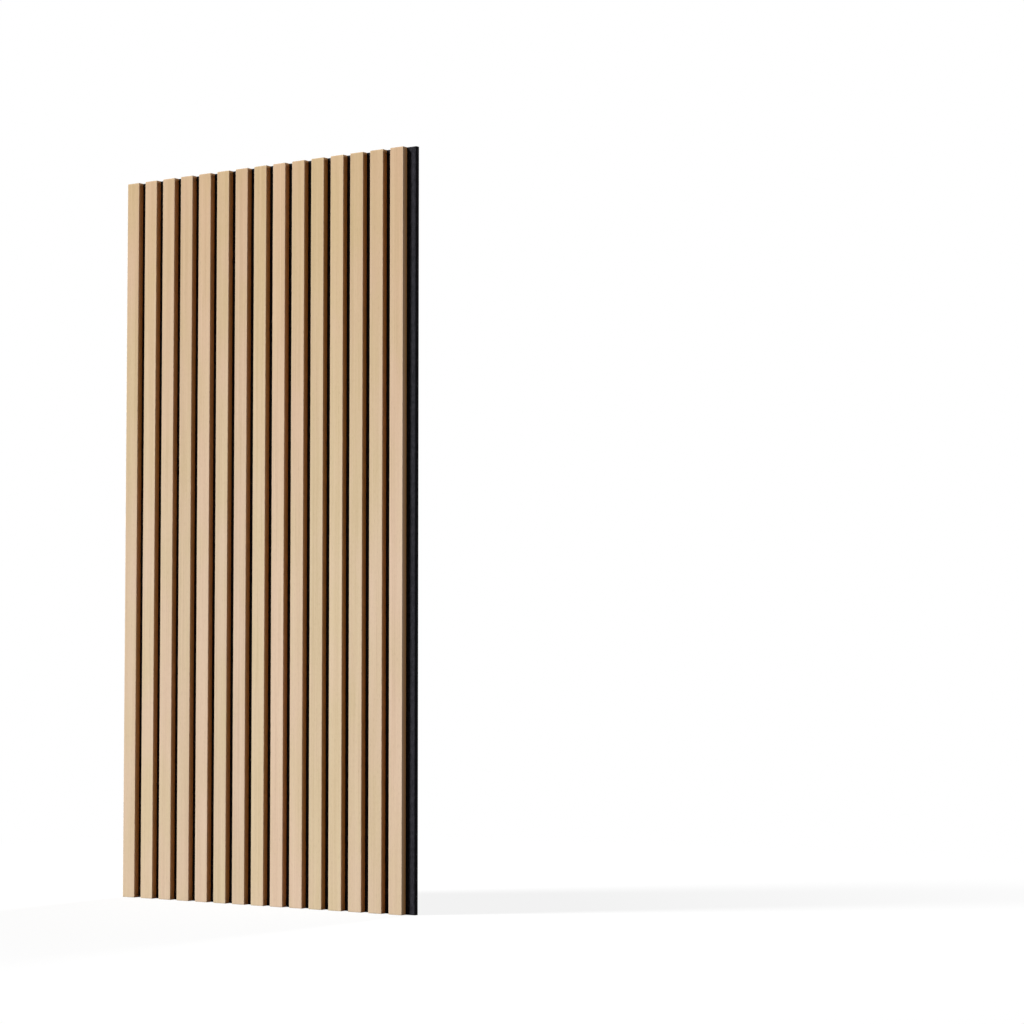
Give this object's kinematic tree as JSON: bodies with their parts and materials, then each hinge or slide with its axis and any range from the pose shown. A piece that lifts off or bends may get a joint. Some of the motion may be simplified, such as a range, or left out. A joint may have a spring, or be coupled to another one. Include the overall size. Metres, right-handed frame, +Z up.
{
  "type": "acoustic slat wall panel",
  "caption": "Upright light-oak slats stapled to a black felt backing board; an acoustic wall covering that butts edge to edge with its neighbours.",
  "frame": {"origin": "middle of the bottom edge of the felt's back face, on the wall plane", "axes": "+X to the right as seen from the front, +Y out of the back face into the wall, +Z up along the slats"},
  "size_m": [0.6, 0.019, 1.2],
  "materials": {
    "slat_oak": "light oak facing with fine upright grain, matt lacquer",
    "backing_felt": "black pressed polyester felt",
    "staple_wire": "zinc-plated flat wire"
  },
  "bodies": {
    "root": {"slat_01": "slat_oak", "slat_02": "slat_oak", "slat_03": "slat_oak", "slat_04": "slat_oak", "slat_05": "slat_oak", "slat_06": "slat_oak", "slat_07": "slat_oak", "slat_08": "slat_oak", "slat_09": "slat_oak", "slat_10": "slat_oak", "slat_11": "slat_oak", "slat_12": "slat_oak", "slat_13": "slat_oak", "slat_14": "slat_oak", "slat_15": "slat_oak", "felt_backing": "backing_felt", "staples": "staple_wire"}
  },
  "joints": []
}
